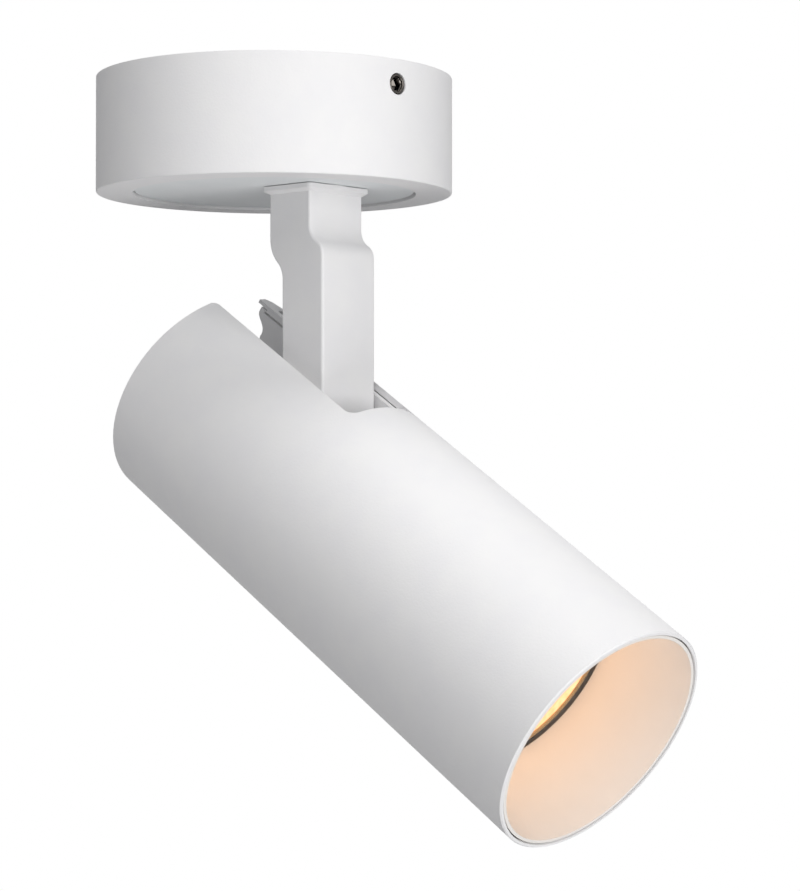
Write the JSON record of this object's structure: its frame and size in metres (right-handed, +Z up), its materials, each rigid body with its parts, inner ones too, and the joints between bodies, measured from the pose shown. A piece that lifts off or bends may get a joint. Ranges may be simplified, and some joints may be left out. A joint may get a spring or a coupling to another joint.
{
  "type": "surface mounted ceiling spotlight",
  "caption": "Ceiling spotlight: round surface canopy with a recessed turntable, a short stepped arm and a cylindrical head that swivels and tilts, with a recessed anti-glare baffle.",
  "frame": {"origin": "centre of the canopy on the ceiling plane", "axes": "+Z up to the ceiling and beyond; the head points forward and down along -Y; X across"},
  "size_m": [0.09, 0.1645, 0.1858],
  "materials": {
    "galvanised": "galvanised",
    "powder_white": "matt",
    "steel_dark": "nickel plated",
    "block_white": "moulded",
    "steel_zinc": "zinc plated",
    "brass": "bright",
    "clamp_plastic": "moulded",
    "glide_plastic": "slippery plastic",
    "felt": "felt",
    "lead_sleeve": "silicone",
    "washer_plastic": "nylon",
    "spring_steel": "tempered",
    "holder_ceramic": "ceramic",
    "aluminium_fins": "as cast",
    "lens": "frosted, lit",
    "board": "solder mask"
  },
  "bodies": {
    "ceiling": {"ceiling_bracket": "galvanised", "canopy": "powder_white", "grub_screws": "steel_dark", "terminal_block": "block_white", "terminal_screws": "steel_zinc", "block_screws": "steel_zinc", "earth_screw": "brass", "cord_clamp": "clamp_plastic", "clamp_screws": "steel_zinc", "glide_ring": "glide_plastic", "friction_ring": "felt", "retaining_ring": "galvanised", "ring_screws": "steel_zinc", "canopy_lead": "lead_sleeve"},
    "arm": {"turntable": "powder_white", "stop_pin": "steel_zinc", "arm": "powder_white", "spigot_nut": "steel_zinc", "spigot_washer": "steel_zinc", "arm_lead": "lead_sleeve", "hinge_pin": "steel_zinc", "hinge_washers": "washer_plastic", "hinge_spring_washer": "spring_steel", "hinge_nut": "steel_zinc"},
    "head": {"head_tube": "powder_white", "hinge_bracket": "powder_white", "saddle_screws": "steel_dark", "holder_plate": "galvanised", "plate_screws": "steel_zinc", "lamp_holder": "holder_ceramic", "holder_screws": "steel_zinc", "lamp_housing": "aluminium_fins", "lamp_lens": "lens", "led_board": "board", "lamp_contacts": "steel_zinc", "head_lead": "lead_sleeve", "rear_cap": "powder_white", "rear_cap_screws": "steel_zinc"},
    "baffle": {"baffle": "powder_white", "baffle_springs": "spring_steel"}
  },
  "joints": [
    {"name": "pan", "type": "hinge", "parent": "ceiling", "child": "arm", "pos_m": [0, 0, -0.025], "axis": [0, 0, 1], "range_deg": [-170, 170]},
    {"name": "tilt", "type": "hinge", "parent": "arm", "child": "head", "pos_m": [0, -0.0188, -0.0842], "axis": [1, 0, 0], "range_deg": [-32.6, 57.4]},
    {"name": "baffle_pull", "type": "slide", "parent": "head", "child": "baffle", "axis": [0, -0.8425, -0.5388], "range_m": [0, 0.035]}
  ]
}
